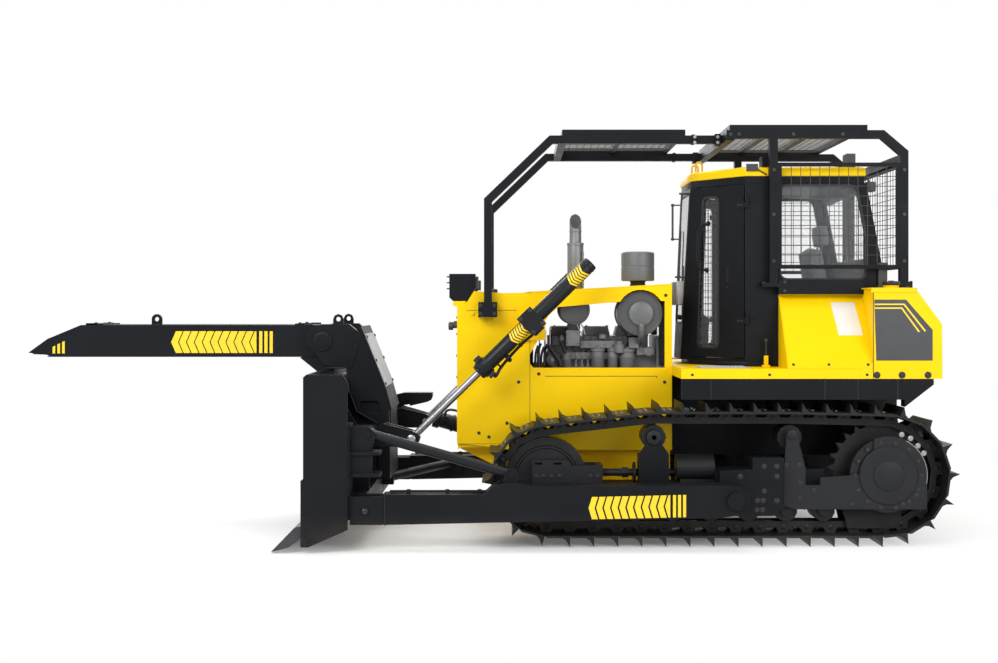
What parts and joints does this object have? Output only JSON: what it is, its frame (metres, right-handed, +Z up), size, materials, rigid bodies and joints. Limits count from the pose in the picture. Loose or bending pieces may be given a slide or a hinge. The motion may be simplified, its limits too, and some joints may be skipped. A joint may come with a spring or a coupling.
{
  "type": "crawler bulldozer with pusher boom",
  "caption": "Land-clearing crawler tractor: straight blade on outside push arms, a mast with a long folding pusher boom, an open engine and a caged cab.",
  "frame": {"origin": "centre of the bounding box on the ground", "axes": "+X towards the drawbar, -X towards the blade, -Y to the machine's left side, +Z up"},
  "size_m": [7.656, 3, 3.366],
  "materials": {
    "yellow_paint": "satin",
    "black_paint": "satin",
    "track_steel": "satin",
    "bright_steel": "polished",
    "grey_metal": "satin",
    "glass": "polished",
    "seat_cover": "matt"
  },
  "bodies": {
    "machine": {"track_left": "track_steel", "track_right": "track_steel", "idlers": "track_steel", "sprockets": "track_steel", "track_rollers": "track_steel", "track_frame_left": "black_paint", "track_frame_right": "black_paint", "track_tensioners": "black_paint", "hub_covers": "black_paint", "arm_trunnions": "black_paint", "chassis": "black_paint", "front_frame": "yellow_paint", "gearcase": "black_paint", "final_drives": "black_paint", "drawbar": "black_paint", "radiator_guard": "yellow_paint", "front_grille": "black_paint", "side_panels": "yellow_paint", "hood": "yellow_paint", "engine": "grey_metal", "engine_filters": "grey_metal", "muffler": "grey_metal", "air_cleaner": "grey_metal", "fenders": "yellow_paint", "skirts": "black_paint", "side_consoles": "yellow_paint", "fuel_tanks": "yellow_paint", "rear_body": "yellow_paint", "cab_floor": "black_paint", "cab_sides": "black_paint", "cab_front": "black_paint", "cab_rear": "black_paint", "cab_roof": "yellow_paint", "cab_glass": "glass", "seat": "seat_cover", "controls": "black_paint", "sweeps": "black_paint", "cab_cage": "black_paint", "cage_screens": "black_paint", "lamps": "black_paint", "lift_brackets": "yellow_paint"},
    "blade_group": {"push_arms": "black_paint", "blade": "black_paint", "cutting_edge": "track_steel", "mast": "black_paint", "brace_lugs": "black_paint", "side_brace": "black_paint", "tilt_cylinder": "black_paint", "diagonal_brace": "black_paint", "lift_lugs": "black_paint"},
    "boom": {"pusher_boom": "black_paint"},
    "lift_barrel_left": {"lift_barrel_left": "black_paint"},
    "lift_barrel_right": {"lift_barrel_right": "black_paint"},
    "lift_rod_left": {"lift_rod_left": "bright_steel"},
    "lift_rod_right": {"lift_rod_right": "bright_steel"},
    "door_left": {"door_left": "black_paint", "door_pane_left": "glass"},
    "door_right": {"door_right": "black_paint", "door_pane_right": "glass"}
  },
  "joints": [
    {"name": "blade_lift", "type": "hinge", "parent": "machine", "child": "blade_group", "pos_m": [2.004, 0, 0.396], "axis": [0, 1, 0], "range_deg": [-6, 16]},
    {"name": "boom_fold", "type": "hinge", "parent": "blade_group", "child": "boom", "pos_m": [-1.32, 0, 1.595], "axis": [0, 1, 0], "range_deg": [0, 90]},
    {"name": "lift_cylinder_swing_left", "type": "hinge", "parent": "machine", "child": "lift_barrel_left", "pos_m": [0.444, -0.85, 1.772], "axis": [0, 1, 0], "range_deg": [-10, 24]},
    {"name": "lift_cylinder_stroke_left", "type": "slide", "parent": "lift_barrel_left", "child": "lift_rod_left", "axis": [-0.7148, 0, -0.6993], "range_m": [-0.58, 0.23]},
    {"name": "door_swing_left", "type": "hinge", "parent": "machine", "child": "door_left", "pos_m": [2.207, -0.803, 2.165], "axis": [0, 0, 1], "range_deg": [0, 90]},
    {"name": "lift_cylinder_swing_right", "type": "hinge", "parent": "machine", "child": "lift_barrel_right", "pos_m": [0.444, 0.85, 1.772], "axis": [0, 1, 0], "range_deg": [-10, 24]},
    {"name": "lift_cylinder_stroke_right", "type": "slide", "parent": "lift_barrel_right", "child": "lift_rod_right", "axis": [-0.7148, 0, -0.6993], "range_m": [-0.58, 0.23]},
    {"name": "door_swing_right", "type": "hinge", "parent": "machine", "child": "door_right", "pos_m": [2.207, 0.803, 2.165], "axis": [0, 0, -1], "range_deg": [0, 90]}
  ],
  "couplings": [
    {"joint": "lift_cylinder_swing_left", "follows": "blade_lift", "ratio": 1.33},
    {"joint": "lift_cylinder_stroke_left", "follows": "blade_lift", "m_per_rad": -2.01},
    {"joint": "lift_cylinder_swing_right", "follows": "blade_lift", "ratio": 1.33},
    {"joint": "lift_cylinder_stroke_right", "follows": "blade_lift", "m_per_rad": -2.01}
  ]
}
